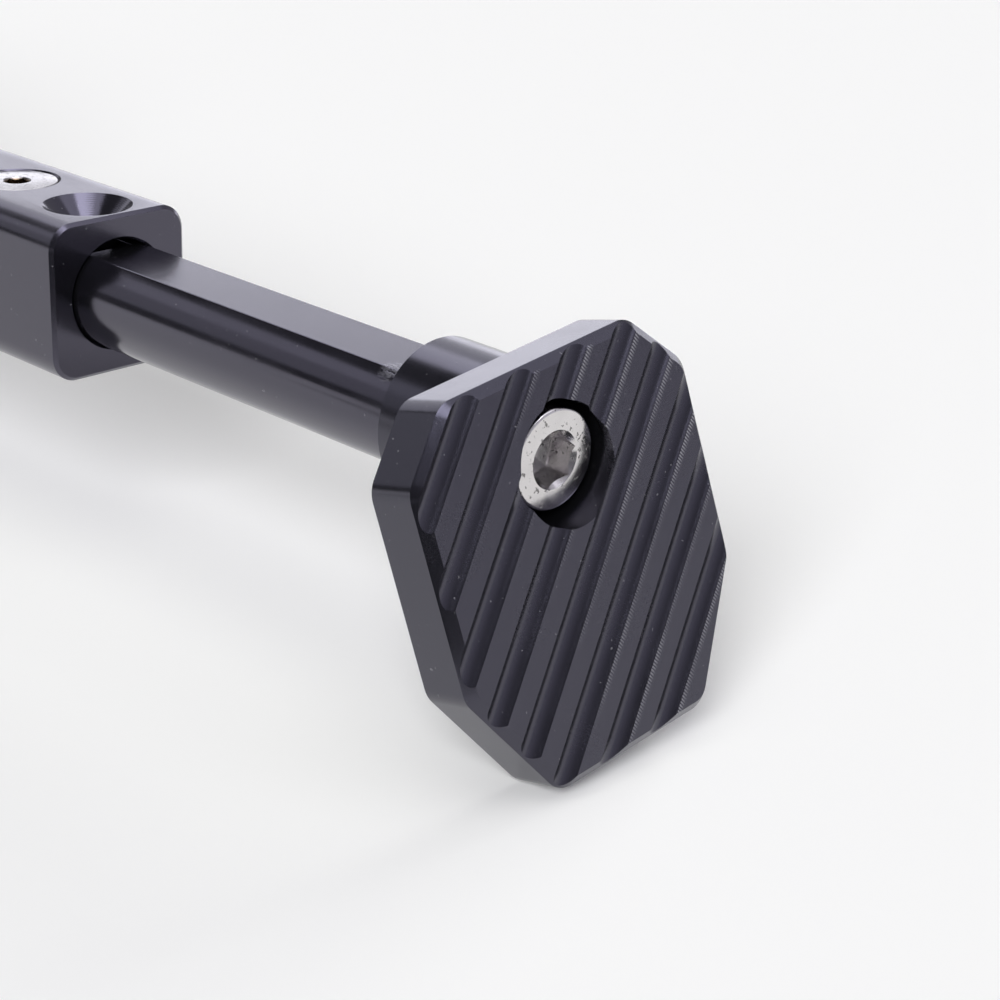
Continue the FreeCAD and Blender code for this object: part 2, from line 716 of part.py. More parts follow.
def foot():
    """Milled foot: an eight-sided grooved plate, leaning on a boss in line with the rod."""
    body = new_body("foot")
    thick = S["foot_thickness"]
    outline = new_sketch(body, "foot_outline", "XY_Plane")
    wide = S["foot_half_width"]
    polygon(outline, [
        (-S["foot_top_half"], S["foot_top"]), (-wide, S["foot_shoulder_up"]),
        (-wide, -S["foot_shoulder_down"]), (-S["foot_bottom_half"], -S["foot_bottom"]),
        (S["foot_bottom_half"], -S["foot_bottom"]), (wide, -S["foot_shoulder_down"]),
        (wide, S["foot_shoulder_up"]), (S["foot_top_half"], S["foot_top"]),
    ])
    plate = pad(body, outline, thick)
    plate.Reversed = True
    up = Vector(0, 0, 1)
    rounded = dress(body, "Fillet", "foot_corners", plate, S["foot_corner"],
                    lambda edge: runs_along(edge, up))
    faced = dress(body, "Chamfer", "foot_face_edge", rounded, S["foot_chamfer"],
                  lambda edge: lies_at(edge, up, 0.0))
    dress(body, "Chamfer", "foot_rear_edge", faced, S["foot_rear_edge"],
          lambda edge: lies_at(edge, up, -thick.number))
    boss = new_sketch(body, "foot_boss", "YZ_Plane", turn=S["foot_tilt"])
    polygon(boss, [
        (0, -S["boss_reach"]),
        (S["boss_radius"] - S["boss_edge"], -S["boss_reach"]),
        (S["boss_radius"], S["boss_edge"] - S["boss_reach"]),
        (S["boss_radius"], -thick / 2), (0, -thick / 2),
    ])
    revolve(body, boss)
    seat = new_sketch(body, "foot_bores", "YZ_Plane", turn=S["foot_tilt"])
    socket_floor = S["socket_depth"] - S["boss_reach"]
    front = S["foot_thickness"]
    rear = -S["boss_reach"] - OVERCUT
    polygon(seat, [
        (0, front), (S["bolt_counterbore"], front), (S["bolt_counterbore"], -seat_depth),
        (S["bolt_hole_radius"], -seat_depth), (S["bolt_hole_radius"], socket_floor),
        (bore_radius, socket_floor), (bore_radius, rear), (0, rear),
    ])
    revolve(body, seat, cut=True)
    return body


def foot_grooves(body):
    """Round-nosed grooves milled straight across the face, side by side at an angle."""
    grooves = new_sketch(body, "foot_grooves", "XZ_Plane")
    lift = S["groove_radius"] - S["groove_depth"]
    for number in range(int(SIZES["groove_count"])):
        circle(grooves, S["groove_first"] + S["groove_pitch"] * number, lift, S["groove_radius"])
    turn = f"rotation(vector(0; 1; 0); {S['groove_angle'].text} - 90)"
    grooves.setExpression("AttachmentOffset", f"placement(vector(0; 0; 0); {turn})")
    pocket(body, grooves)


def place_foot(body):
    """Sets the foot on the rod's axis: leant back, then turned about the rod."""
    turn = (f"rotation(vector(1; 0; 0); {S['foot_roll'].text})"
            f" * rotation(vector(0; 1; 0); 0 - {S['foot_tilt'].text})"
            " * rotation(vector(1; 1; 1); 120)")
    spot = f"vector({foot_face.text}; 0; {(-S['pivot_drop']).text})"
    body.setExpression("Placement", f"placement({spot}; {turn})")


def foot_bolt():
    """Socket-head bolt that draws the foot on to the end of the rod."""
    body = turned("foot_bolt", [
        (0, -S["bolt_length"]), (S["bolt_radius"], -S["bolt_length"]),
        (S["bolt_radius"], 0), (S["bolt_head_radius"], 0),
        (S["bolt_head_radius"], S["bolt_head_height"] - S["bolt_head_edge"]),
        (S["bolt_head_radius"] - S["bolt_head_edge"], S["bolt_head_height"]),
        (0, S["bolt_head_height"]),
    ])
    cut_hexagon(body, S["bolt_head_height"], S["bolt_flats"], S["bolt_key_depth"], S["bolt_turn"])
    x = foot_face - seat_depth + S["seat_gap"]
    return place(body, x=x, z=-S["pivot_drop"], axis=Vector(0, 1, 0), angle=90.0)


mount_bracket()
pivot_pieces()
stop_pin()
bumper()
spring_post("spring_post_frame", -S["post_rear"], S["post_rise"], bracket_half)
spring_post("spring_post_leg", S["post_reach"], as_size(0), half_leg)
return_spring()
leg_upper()
leg_rod()
clamp_pieces()
foot_body = foot()
foot_grooves(foot_body)
place_foot(foot_body)
foot_bolt()
doc.recompute()

faulty = [item.Name for item in doc.Objects if {"Invalid", "Error"} & set(item.State)]
if faulty:
    raise RuntimeError(f"these objects failed: {faulty}")
os.makedirs("parts", exist_ok=True)
kinds = ("PartDesign::Body", "Part::Feature")
for piece in [item for item in doc.Objects if item.TypeId in kinds]:
    shape = piece.Shape
    if shape.isNull() or not shape.isValid() or not shape.Solids:
        raise RuntimeError(f"{piece.Label} has no valid solid")
    print(f"{piece.Label}: {len(shape.Solids)} solid, {shape.Volume:.1f} mm3")
    shape.exportStep(f"parts/{piece.Label}.step")
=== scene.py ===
import json
import math

import bmesh
import bpy
from mathutils import Matrix, Quaternion, Vector


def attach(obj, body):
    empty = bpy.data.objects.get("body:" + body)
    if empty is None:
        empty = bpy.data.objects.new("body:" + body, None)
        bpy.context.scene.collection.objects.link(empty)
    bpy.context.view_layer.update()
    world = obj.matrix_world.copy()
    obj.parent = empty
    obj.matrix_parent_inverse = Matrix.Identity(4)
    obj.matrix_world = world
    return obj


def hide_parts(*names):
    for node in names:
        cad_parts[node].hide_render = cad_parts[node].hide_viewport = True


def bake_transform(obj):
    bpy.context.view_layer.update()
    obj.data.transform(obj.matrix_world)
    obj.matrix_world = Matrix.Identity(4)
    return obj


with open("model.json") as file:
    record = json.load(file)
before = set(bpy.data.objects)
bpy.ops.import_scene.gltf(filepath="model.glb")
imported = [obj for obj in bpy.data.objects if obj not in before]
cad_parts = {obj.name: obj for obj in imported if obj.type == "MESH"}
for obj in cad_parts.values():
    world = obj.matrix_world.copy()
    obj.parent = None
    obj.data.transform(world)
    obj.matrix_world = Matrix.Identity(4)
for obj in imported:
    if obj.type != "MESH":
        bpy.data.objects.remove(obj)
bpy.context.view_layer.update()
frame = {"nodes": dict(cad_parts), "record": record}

# One millimetre, in the scene's metres.
MM = 0.001

# Sizes of the solids that the pieces here follow, in millimetres.
AXIS_Z = -26.0
LEG_TOP = AXIS_Z + 11.0
FIRST_HOLE = 183.0
HOLE_PITCH = 17.0
CLAMP_SCREWS = {"lower": 166.0, "upper": 132.0}
SCREW_SINK = 0.1
ROD_FLAT = AXIS_Z + 6.0
FOOT_BOLT_SEAT = 265.35
FACE_CENTRE = Vector((275.5, 0.0, AXIS_Z))
FOOT_TILT = math.radians(14.3)
FOOT_ROLL = math.radians(8.0)
GROOVE_ANGLE = math.radians(47.0)
GROOVE_PITCH = 6.27
GROOVE_FIRST = -17.0
FLOOR_Z = -63.6

# The return spring, hook to hook between its two posts, in millimetres.
SPRING_REAR = Vector((-26.0, 0.0, -18.0))
SPRING_FRONT = Vector((50.0, 0.0, -26.0))
SPRING_SIDE = 25.0
POST_NECK = 2.0
POST_GAP = 0.05
WIRE_RADIUS = 0.9
COIL_RADIUS = 3.7
COIL_LEAD = 3.6
COIL_TURNS = 20
COIL_STEPS = 28
HOOK_STEPS = 24


class Tree:
    """Adds nodes to a node tree. Each method that makes a node returns its output."""

    def __init__(self, node_tree):
        self.nodes = node_tree.nodes
        self.links = node_tree.links

    def place(self):
        """The point being shaded, in the object's own metres."""
        return self.nodes.new("ShaderNodeTexCoord").outputs["Object"]

    def parts(self, source):
        """The X, Y and Z of a place."""
        node = self.nodes.new("ShaderNodeSeparateXYZ")
        self.links.new(source, node.inputs["Vector"])
        return node.outputs["X"], node.outputs["Y"], node.outputs["Z"]

    def stretched(self, source, scale):
        """Coordinates stretched, for marks that run one way."""
        node = self.nodes.new("ShaderNodeMapping")
        node.inputs["Scale"].default_value = scale
        self.links.new(source, node.inputs["Vector"])
        return node.outputs["Vector"]

    def against(self, kind, source, vector):
        """Measures a place against a fixed vector: its dot product or its distance."""
        node = self.nodes.new("ShaderNodeVectorMath")
        node.operation = kind
        node.inputs[1].default_value = vector
        self.links.new(source, node.inputs[0])
        return node.outputs["Value"]

    def noise(self, source, scale, detail=2.0):
        """Noise over the given coordinates, as a value from 0 to 1."""
        node = self.nodes.new("ShaderNodeTexNoise")
        node.inputs["Scale"].default_value = scale
        node.inputs["Detail"].default_value = detail
        self.links.new(source, node.inputs["Vector"])
        return node.outputs["Fac"]

    def remap(self, source, low, high, start=0.0, end=1.0):
        """Stretches a value from one span to another, held at its ends."""
        node = self.nodes.new("ShaderNodeMapRange")
        node.inputs["From Min"].default_value = start
        node.inputs["From Max"].default_value = end
        node.inputs["To Min"].default_value = low
        node.inputs["To Max"].default_value = high
        self.links.new(source, node.inputs["Value"])
        return node.outputs["Result"]

    def rise(self, source, start, end):
        """A value that climbs from 0 to 1 over a span of the source."""
        return self.remap(source, 0.0, 1.0, start, end)

    def fall(self, source, start, end):
        """A value that drops from 1 to 0 over a span of the source."""
        return self.remap(source, 1.0, 0.0, start, end)

    def maths(self, kind, first, second=0.0):
        """Works out one value from another and a value or a number."""
        node = self.nodes.new("ShaderNodeMath")
        node.operation = kind
        self.links.new(first, node.inputs[0])
        if isinstance(second, (int, float)):
            node.inputs[1].default_value = second
        else:
            self.links.new(second, node.inputs[1])
        return node.outputs["Value"]

    def times(self, first, second):
        """One value times another value or a number."""
        return self.maths("MULTIPLY", first, second)

    def plus(self, first, second):
        """One value plus another value or a number."""
        return self.maths("ADD", first, second)

    def mottle(self, cloud, colour, shades, span):
        """A colour that runs between two shades of itself over a span of a noise."""
        node = self.nodes.new("ShaderNodeValToRGB")
        for element, position, shade_of in zip(node.color_ramp.elements, span, shades):
            element.position = position
            element.color = (*[part * shade_of for part in colour], 1.0)
        self.links.new(cloud, node.inputs["Fac"])
        return node.outputs["Color"]

    def towards(self, first, colour, share):
        """Shifts a colour towards another by a value from 0 to 1."""
        node = self.nodes.new("ShaderNodeMix")
        node.data_type = "RGBA"
        node.inputs["B"].default_value = (*colour, 1.0)
        self.links.new(share, node.inputs["Factor"])
        self.links.new(first, node.inputs["A"])
        return node.outputs["Result"]

    def bump(self, height, distance, strength=1.0, before=None):
        """A relief of the given depth in metres, on top of an earlier one."""
        node = self.nodes.new("ShaderNodeBump")
        node.inputs["Distance"].default_value = distance
        node.inputs["Strength"].default_value = strength
        self.links.new(height, node.inputs["Height"])
        if before is not None:
            self.links.new(before, node.inputs["Normal"])
        return node.outputs["Normal"]


def new_material(name, colour, metallic=0.0, roughness=0.4):
    """A material with one surface shader, and the tree to build its look on."""
    made = bpy.data.materials.new(name)
    made.use_nodes = True
    shader = made.node_tree.nodes["Principled BSDF"]
    shader.inputs["Base Color"].default_value = (*colour, 1.0)
    shader.inputs["Metallic"].default_value = metallic
    shader.inputs["Roughness"].default_value = roughness
    return made, Tree(made.node_tree), shader


def finished(tree, shader, skin, gloss, relief):
    """Gives the shader its colour, roughness and relief."""
    tree.links.new(skin, shader.inputs["Base Color"])
    tree.links.new(gloss, shader.inputs["Roughness"])
    tree.links.new(relief, shader.inputs["Normal"])


def foot_marks(tree, spot, skin, gloss, relief):
    """The foot's milled front: a rougher face, and the cutter's cusp marks along one edge
    of each groove, a real relief with a painted highlight that lightens their colour. They are short
    strokes that start at the edge and fade out over the land beside it, in patches and more on one
    side of the foot than on the other."""
    side = Vector((0.0, math.cos(FOOT_ROLL), math.sin(FOOT_ROLL)))
    out = Vector((math.cos(FOOT_TILT), -math.sin(FOOT_TILT) * math.sin(FOOT_ROLL),
                  math.sin(FOOT_TILT) * math.cos(FOOT_ROLL)))
    up = out.cross(side)
    along = side * math.cos(GROOVE_ANGLE) + up * math.sin(GROOVE_ANGLE)
    across = side * math.sin(GROOVE_ANGLE) - up * math.cos(GROOVE_ANGLE)

    # The strip beside each groove's edge, by the share of the way to the next groove.
    first_groove = FACE_CENTRE.dot(across) + GROOVE_FIRST
    share = tree.against("DOT_PRODUCT", spot, across / (GROOVE_PITCH * MM))
    share = tree.maths("FRACT", tree.maths("SUBTRACT", share, first_groove / GROOVE_PITCH))
    strip = tree.times(tree.rise(share, 0.262, 0.274), tree.fall(share, 0.282, 0.40))

    # The strokes in it, a little askew.
    stroke_pitch = 0.38 * MM
    askew = 0.25
    stroke = tree.against("DOT_PRODUCT", spot, (along + across * askew) / stroke_pitch)
    stroke = tree.rise(tree.maths("PINGPONG", stroke, 0.5), 0.16, 0.38)

    # The face alone, and the whole front with its grooves, by the depth under the face.
    depth = tree.against("DOT_PRODUCT", spot, out)
    depth = tree.maths("ABSOLUTE", tree.maths("SUBTRACT", depth, FACE_CENTRE.dot(out) * MM))
    face = tree.fall(depth, 0.2 * MM, 0.3 * MM)
    front = tree.fall(depth, 1.0 * MM, 1.15 * MM)

    # Where the cusp marks, and the painted highlight on them, are strong.
    patch = tree.remap(tree.noise(spot, 60.0), 0.3, 1.0, 0.42, 0.6)
    middle = FACE_CENTRE.dot(side)
    aside = tree.remap(tree.against("DOT_PRODUCT", spot, side), 0.1, 1.0,
                       (middle - 8.0) * MM, (middle + 5.0) * MM)
    cusp_relief_and_painted_highlight = tree.times(tree.times(tree.times(strip, stroke), face), tree.times(patch, aside))

    gloss = tree.plus(gloss, tree.times(front, 0.05))
    # Painted highlight: the colour is lightened along the cusp marks for the light their facets catch;
    # the bump below is their real relief.
    skin = tree.towards(skin, (0.19, 0.19, 0.2), cusp_relief_and_painted_highlight)
    gloss = tree.plus(gloss, tree.times(cusp_relief_and_painted_highlight, 0.12))
    return skin, gloss, tree.bump(cusp_relief_and_painted_highlight, 0.03 * MM, 1.0, relief)


def leg_marks(tree, spot, skin, gloss, relief):
    """The leg's countersinks: a little smoother, with the fine rings that their cutter left."""
    x, y, z = tree.parts(spot)

    # How far a place is from the axis of the nearest hole.
    step = tree.maths("SUBTRACT", tree.times(x, 1.0 / (HOLE_PITCH * MM)), FIRST_HOLE / HOLE_PITCH - 0.5)
    step = tree.times(tree.maths("SUBTRACT", tree.maths("FRACT", step), 0.5), HOLE_PITCH * MM)
    squares = [tree.maths("POWER", tree.maths("ABSOLUTE", part), 2.0) for part in (step, y)]
    reach = tree.maths("SQRT", tree.plus(*squares))

    # The cone lies under the top face, inside its rim and above the screw's own hole.
    under = tree.fall(z, (LEG_TOP - 0.12) * MM, (LEG_TOP - 0.04) * MM)
    inside = tree.fall(reach, 6.3 * MM, 6.5 * MM)
    above = tree.rise(z, (LEG_TOP - 5.0) * MM, (LEG_TOP - 4.8) * MM)
    cone = tree.times(tree.times(under, inside), above)

    ring_pitch = 0.21 * MM
    rings = tree.times(tree.maths("SINE", tree.times(reach, 2 * math.pi / ring_pitch)), cone)
    gloss = tree.plus(gloss, tree.times(cone, -0.03))
    return skin, gloss, tree.bump(rings, 0.003 * MM, 1.0, relief)


def rod_marks(tree, spot, skin, gloss, relief):
    """The bar's flat, a little rougher than its round, with a scuff at its end by the foot."""
    height = tree.parts(spot)[2]
    flat = tree.remap(height, 0.0, 0.045, (ROD_FLAT - 0.06) * MM, (ROD_FLAT - 0.02) * MM)
    gloss = tree.plus(gloss, flat)
    scuff = Vector((250.8, -4.5, ROD_FLAT)) * MM
    near = tree.fall(tree.against("DISTANCE", spot, scuff), 0.9 * MM, 2.3 * MM)
    worn = tree.noise(tree.stretched(spot, (900.0, 2600.0, 2600.0)), 1.0, detail=3.0)
    rubbed = tree.times(tree.rise(worn, 0.44, 0.56), near)
    skin = tree.towards(skin, (0.07, 0.07, 0.075), rubbed)
    gloss = tree.plus(gloss, tree.times(rubbed, 0.2))
    return skin, gloss, tree.bump(rubbed, 0.03 * MM, 1.0, relief)


def anodised(name, roughness, index=1.95, film=(0.815, 0.775, 1.0), marks=None):
    """Black anodised aluminium: a fine blasted grain, faint draw lines and a few dust specks.
    The film tints what it reflects, and marks adds what one piece alone shows."""
    black = (0.003, 0.003, 0.0036)
    made, tree, shader = new_material(name, black, roughness=roughness)
    spot = tree.place()
    cloud = tree.noise(spot, 90.0, detail=4.0)
    grain = tree.noise(spot, 5200.0, detail=1.0)
    drawn = tree.noise(tree.stretched(spot, (60.0, 3800.0, 3800.0)), 1.0)
    skin = tree.mottle(cloud, black, (0.82, 1.18), (0.3, 0.7))
    gloss = tree.remap(cloud, roughness - 0.03, roughness + 0.04, 0.3, 0.7)
    gloss = tree.plus(gloss, tree.remap(drawn, -0.015, 0.015, 0.3, 0.7))
    relief = tree.bump(drawn, 0.004 * MM, 0.5)
    relief = tree.bump(grain, 0.004 * MM, 0.6, relief)
    if marks is not None:
        skin, gloss, relief = marks(tree, spot, skin, gloss, relief)
    dust = tree.rise(tree.noise(spot, 2400.0, detail=0.0), 0.83, 0.87)
    skin = tree.towards(skin, (0.09, 0.09, 0.095), dust)
    finished(tree, shader, skin, gloss, relief)
    shader.inputs["IOR"].default_value = index
    shader.inputs["Specular Tint"].default_value = (*film, 1.0)
    return made


def steel(name, colour, roughness, grime_below=None):
    """Stainless steel with a fine grain, small pits and a slightly uneven gloss.
    Below a height in millimetres it can carry the brown grime that gathers in a socket."""
    made, tree, shader = new_material(name, colour, metallic=1.0, roughness=roughness)
    spot = tree.place()
    cloud = tree.noise(spot, 400.0, detail=3.0)
    grain = tree.noise(spot, 6000.0)
    pits = tree.remap(tree.noise(spot, 1600.0, detail=3.0), 0.0, 0.8, 0.62, 0.68)
    skin = tree.mottle(cloud, colour, (0.88, 1.0), (0.3, 0.7))
    skin = tree.towards(skin, (0.1, 0.095, 0.09), pits)
    if grime_below is not None:
        height = tree.parts(spot)[2]
        grime = tree.remap(height, 0.95, 0.0, (grime_below - 0.25) * MM, grime_below * MM)
        skin = tree.towards(skin, (0.17, 0.11, 0.055), grime)
    gloss = tree.remap(cloud, roughness - 0.07, roughness + 0.08, 0.3, 0.7)
    relief = tree.bump(pits, 0.02 * MM, 1.0, tree.bump(grain, 0.003 * MM, 0.5))
    finished(tree, shader, skin, gloss, relief)
    return made


def soft(name, colour, roughness):
    """Moulded polymer or rubber with a matt, slightly dusty skin."""
    made, tree, shader = new_material(name, colour, roughness=roughness)
    cloud = tree.noise(tree.place(), 500.0, detail=4.0)
    skin = tree.mottle(cloud, colour, (0.8, 1.4), (0.0, 1.0))
    gloss = tree.remap(cloud, roughness - 0.1, roughness + 0.1)
    finished(tree, shader, skin, gloss, tree.bump(cloud, 0.03 * MM, 0.4))
    return made


looks = {
    "anodised_bracket": anodised("black_anodised_bracket", 0.2),
    "anodised_leg": anodised("black_anodised_leg", 0.2, marks=leg_marks),
    "anodised_rod": anodised("black_anodised_rod", 0.16, marks=rod_marks),
    "anodised_foot": anodised("black_anodised_foot", 0.2, 1.81, (0.80, 0.775, 1.0), foot_marks),
    "stainless": steel("stainless_steel", (0.71, 0.69, 0.69), 0.19),
    "spring_steel": steel("spring_wire", (0.5, 0.5, 0.5), 0.32),
    "bush_polymer": soft("bush_polymer", (0.03, 0.03, 0.032), 0.5),
    "bumper_rubber": soft("bumper_rubber", (0.02, 0.02, 0.02), 0.7),
}
screw_look = steel("stainless_screws", (0.515, 0.505, 0.50), 0.24, LEG_TOP - 0.13)
slot_of = {entry["node"]: entry["material_slot"] for entry in frame["record"]["subparts"]}
body_of = {}
for body, names in frame["record"]["behaviour"]["bodies"].items():
    for name in names:
        body_of[name] = body


def dress(item, look):
    """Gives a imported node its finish."""
    if not item.material_slots:
        item.data.materials.append(look)
    for place in item.material_slots:
        place.link = "OBJECT"
        place.material = look


def shade(mesh, angle):
    """Smooth faces, with creases where they meet at more than an angle."""
    for face in mesh.polygons:
        face.use_smooth = True
    mesh.set_sharp_from_angle(angle=math.radians(angle))


def closed_strip(form, rings):
    """Skins a row of rings of equally many points, and closes both ends."""
    count = len(rings[0])
    for low, high in zip(rings, rings[1:]):
        for step in range(count):
            after = (step + 1) % count
            form.faces.new((low[step], low[after], high[after], high[step]))
    form.faces.new(list(reversed(rings[0])))
    form.faces.new(rings[-1])


def mesh_of(form, name):
    """Turns a form into a mesh and frees it."""
    mesh = bpy.data.meshes.new(name)
    form.to_mesh(mesh)
    form.free()
    return mesh


def stand_for(item, node, look):
    """Puts a piece in a node's place, on that node's body and in its finish."""
    bpy.context.scene.collection.objects.link(item)
    item.data.materials.append(look)
    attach(item, body_of[node])
    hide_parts(node)


def broken_edges(node, width):
    """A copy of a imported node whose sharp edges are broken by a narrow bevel."""
    crease = 28.0
    form = bmesh.new()
    form.from_mesh(frame["nodes"][node].data)
    bmesh.ops.remove_doubles(form, verts=form.verts, dist=0.002 * MM)
    bmesh.ops.dissolve_limit(form, angle_limit=math.radians(0.4), verts=form.verts,
                             edges=form.edges, use_dissolve_boundaries=False)
    form.verts.index_update()
    spots = [vert.co.copy() for vert in form.verts]
    faces = [[vert.index for vert in face.verts] for face in form.faces]
    form.free()
    mesh = bpy.data.meshes.new(f"{node}_finished")
    mesh.from_pydata(spots, [], faces)
    shade(mesh, crease)
    item = bpy.data.objects.new(f"{node}_finished", mesh)
    bevel = item.modifiers.new("edge_break", "BEVEL")
    bevel.width = width * MM
    bevel.segments = 2
    bevel.limit_method = "ANGLE"
    bevel.angle_limit = math.radians(crease)
    bevel.harden_normals = True
    bevel.use_clamp_overlap = True
    stand_for(item, node, looks[slot_of[node]])


def ringed(name, rings, spin):
    """A closed piece through rings of points, each a circle or a hexagon by its half width.
    A coned ring is a hexagon cut in a 45 degree cone, whose points rise with their distance
    from the axis. The rings run along that axis, and spin sets it in the frame."""
    points = 96
    crease = 32.0
    form = bmesh.new()
    lines = []
    for kind, half, height in rings:
        line = []
        for step in range(points):
            angle = 2 * math.pi * step / points
            reach = half
            if kind != "circle":
                reach = half / math.cos(angle % (math.pi / 3) - math.pi / 6)
            rise = reach if kind == "coned" else 0.0
            spot = Vector((reach * math.cos(angle), reach * math.sin(angle), height + rise)) * MM
            line.append(form.verts.new(spin @ spot))
        lines.append(line)
    closed_strip(form, lines)
    mesh = mesh_of(form, name)
    shade(mesh, crease)
    return bpy.data.objects.new(name, mesh)


def rounded_corner(half, height, radius, steps):
    """Rings of a rounded outer rim, from the piece's side round to its end face."""
    rings = []
    for step in range(steps + 1):
        angle = math.radians(90 * step / steps)
        rings.append(("circle", half - radius * (1 - math.cos(angle)),
                      height - radius * (1 - math.sin(angle))))
    return rings


def socket(half, depth, top, mouth):
    """Rings of a hexagon socket: a turned mouth, the six walls and a drilled floor."""
    return [
        ("circle", mouth, top),
        ("coned", half, top - mouth),
        ("hexagon", half, top - depth),
        ("hexagon", half * 0.86, top - depth),
        ("circle", 0.15, top - depth - half * 0.4),
    ]


def foot_bolt():
    """The foot's socket-head bolt, head out along the bar, its hexagon turned as in the photo."""
    length = 25.0
    shank = 4.0
    head_height = 8.0
    head_half = 6.2
    hexagon_turn = math.radians(14.8)
    rings = [
        ("circle", shank - 0.6, -length),
        ("circle", shank, -length + 0.7),
        ("circle", shank, -0.25),
        ("circle", shank + 0.25, 0.0),
        ("circle", head_half - 0.35, 0.0),
        ("circle", head_half, 0.3),
        *rounded_corner(head_half, head_height, 0.45, 6),
        *socket(3.0, 4.0, head_height, 3.58),
    ]
    ahead = Vector((1.0, 0.0, 0.0))
    side = Vector((0.0, math.cos(hexagon_turn), math.sin(hexagon_turn)))
    turned = Matrix((side, ahead.cross(side), ahead)).transposed().to_4x4()
    seat = Vector((FOOT_BOLT_SEAT, 0.0, AXIS_Z)) * MM
    bolt = ringed("foot_bolt_finished", rings, Matrix.Translation(seat) @ turned)
    stand_for(bolt, "foot_bolt", looks["stainless"])


def clamp_screws():
    """The two countersunk screws in the leg's top, just under its face."""
    length = 10.0
    shank = 3.0
    head_half = 5.7
    rings = [
        ("circle", shank - 0.5, -length),
        ("circle", shank, -length + 0.5),
        ("circle", shank, -3.0),
        ("circle", head_half - 0.08, -0.38),
        ("circle", head_half, -0.3),
        *rounded_corner(head_half, 0.0, 0.16, 3),
        *socket(1.65, 2.0, 0.0, 2.0),
    ]
    for label, x in CLAMP_SCREWS.items():
        top = Vector((x, 0.0, LEG_TOP - SCREW_SINK)) * MM
        screw = ringed(f"clamp_screw_{label}_finished", rings, Matrix.Translation(top))
        stand_for(screw, f"clamp_screw_{label}", screw_look)


def hook(at, way, centre):
    """Points of a hook's half turn round its post, from the coil's end on, in the spring's line."""
    spots = [Vector((at + way * (centre + COIL_RADIUS / 2), 0.0, -COIL_RADIUS))]
    for step in range(HOOK_STEPS + 1):
        angle = math.pi * step / HOOK_STEPS
        spots.append(Vector((at + way * (centre - COIL_RADIUS * math.sin(angle)), 0.0,
                             -COIL_RADIUS * math.cos(angle))))
    return spots


def wire_path():
    """Points of the return spring's centre line, hook to hook, in the row's frame."""
    span = (SPRING_FRONT - SPRING_REAR).length
    slope = (SPRING_FRONT - SPRING_REAR).normalized()
    lift = slope.cross(Vector((0.0, 1.0, 0.0)))
    centre = COIL_RADIUS - POST_NECK - WIRE_RADIUS - POST_GAP
    start = centre + COIL_LEAD
    last = COIL_TURNS * COIL_STEPS
    coil = []
    for step in range(last + 1):
        angle = 2 * math.pi * step / COIL_STEPS
        coil.append(Vector((start + (span - 2 * start) * step / last,
                            COIL_RADIUS * math.sin(angle), COIL_RADIUS * math.cos(angle))))
    path = []
    for spot in hook(0.0, 1.0, centre) + coil + hook(span, -1.0, centre)[::-1]:
        aside = Vector((0.0, SPRING_SIDE + spot.y, 0.0))
        path.append((SPRING_REAR + slope * spot.x + aside + lift * spot.z) * MM)
    return path


def wire(name, spots, radius):
    """A round wire swept along its centre line, with slightly narrowed ends."""
    sides = 12
    crease = 50.0
    narrowed = 0.8
    form = bmesh.new()
    rings = []
    upright = Vector((0.0, 1.0, 0.0))
    last = len(spots) - 1
    for place, spot in enumerate(spots):
        heading = (spots[min(place + 1, last)] - spots[max(place - 1, 0)]).normalized()
        upright = (upright - heading * upright.dot(heading)).normalized()
        sideways = heading.cross(upright)
        reach = radius * MM * (narrowed if place in (0, last) else 1.0)
        ring = []
        for step in range(sides):
            angle = 2 * math.pi * step / sides
            way = upright * math.cos(angle) + sideways * math.sin(angle)
            ring.append(form.verts.new(spot + way * reach))
        rings.append(ring)
    closed_strip(form, rings)
    mesh = mesh_of(form, name)
    shade(mesh, crease)
    item = bpy.data.objects.new(name, mesh)
    bpy.context.scene.collection.objects.link(item)
    return item


def photo_camera():
    """The camera, fitted to the photograph's edges."""
    data = bpy.data.cameras.new("camera")
    data.sensor_width = 36.0
    data.lens = 87.7476
    data.shift_x = -0.015078
    data.shift_y = 0.01562
    data.clip_start = 0.01
    data.clip_end = 50.0
    item = bpy.data.objects.new("camera", data)
    item.location = Vector((453.448, -187.310, 72.400)) * MM
    item.rotation_mode = "QUATERNION"
    item.rotation_quaternion = Quaternion((0.7615667, 0.5197374, 0.2047389, 0.3285897))
    bpy.context.scene.collection.objects.link(item)
    bpy.context.scene.camera = item


def stage_piece(name, form, material):
    """A piece of the studio that isn't part of the object."""
    mesh = mesh_of(form, name)
    mesh.materials.append(material)
    item = bpy.data.objects.new(name, mesh)
    bpy.context.scene.collection.objects.link(item)
    return item


def floor():
    """A wide pale floor that the folded stand lies on."""
    made, tree, shader = new_material("floor_white", (0.95, 0.95, 0.95), roughness=0.6)
    tree.links.new(tree.remap(tree.noise(tree.place(), 3.0), 0.55, 0.65), shader.inputs["Roughness"])
    shader.inputs["Specular IOR Level"].default_value = 0.0
    reach = 14.0
    steps = 12
    form = bmesh.new()
    spots = [reach * (2 * step / steps - 1) for step in range(steps + 1)]
    grid = [[form.verts.new((x, y, FLOOR_Z * MM)) for y in spots] for x in spots]
    for row, beyond in zip(grid, grid[1:]):
        for one, two, three, four in zip(row, row[1:], beyond[1:], beyond):
            form.faces.new((one, four, three, two))
    stage_piece("floor", form, made)


